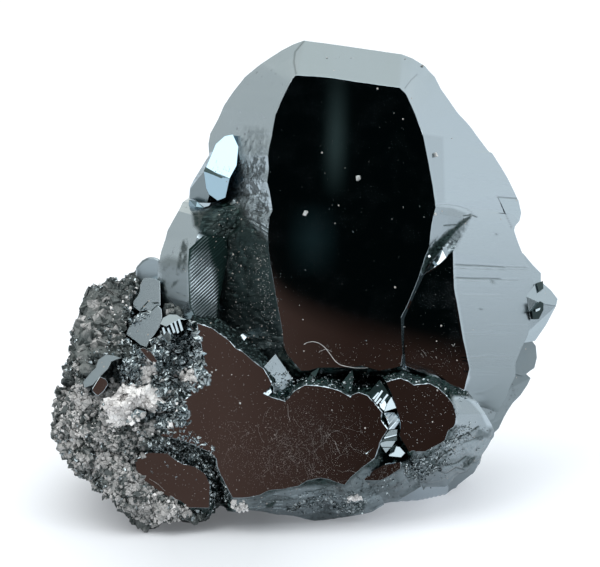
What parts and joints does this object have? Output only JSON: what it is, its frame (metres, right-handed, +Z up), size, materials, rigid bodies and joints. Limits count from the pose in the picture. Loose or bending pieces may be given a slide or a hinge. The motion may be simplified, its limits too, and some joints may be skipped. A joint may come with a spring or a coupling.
{
  "type": "hematite specimen",
  "caption": "Loose mineral specimen: bright tabular hematite crystals with flat mirror faces on a lump of granular matrix, standing on a flat base.",
  "frame": {"origin": "middle of the bounding box on the surface that the specimen rests on", "axes": "+Z up, the mirror faces look towards -Y and a little up, +X to the viewer's right"},
  "size_m": [0.0468, 0.0289, 0.0412],
  "materials": {
    "hematite": "natural crystal faces, mirror bright and dark steel grey, with fine growth lines on the slanting sides",
    "matrix": "rough granular rock of small quartz and hematite grains",
    "quartz": "sugary whitish quartz with a faint pink tint"
  },
  "bodies": {
    "root": {"hematite_crystals": "hematite", "granular_matrix": "matrix", "quartz_patch": "quartz"}
  },
  "joints": []
}
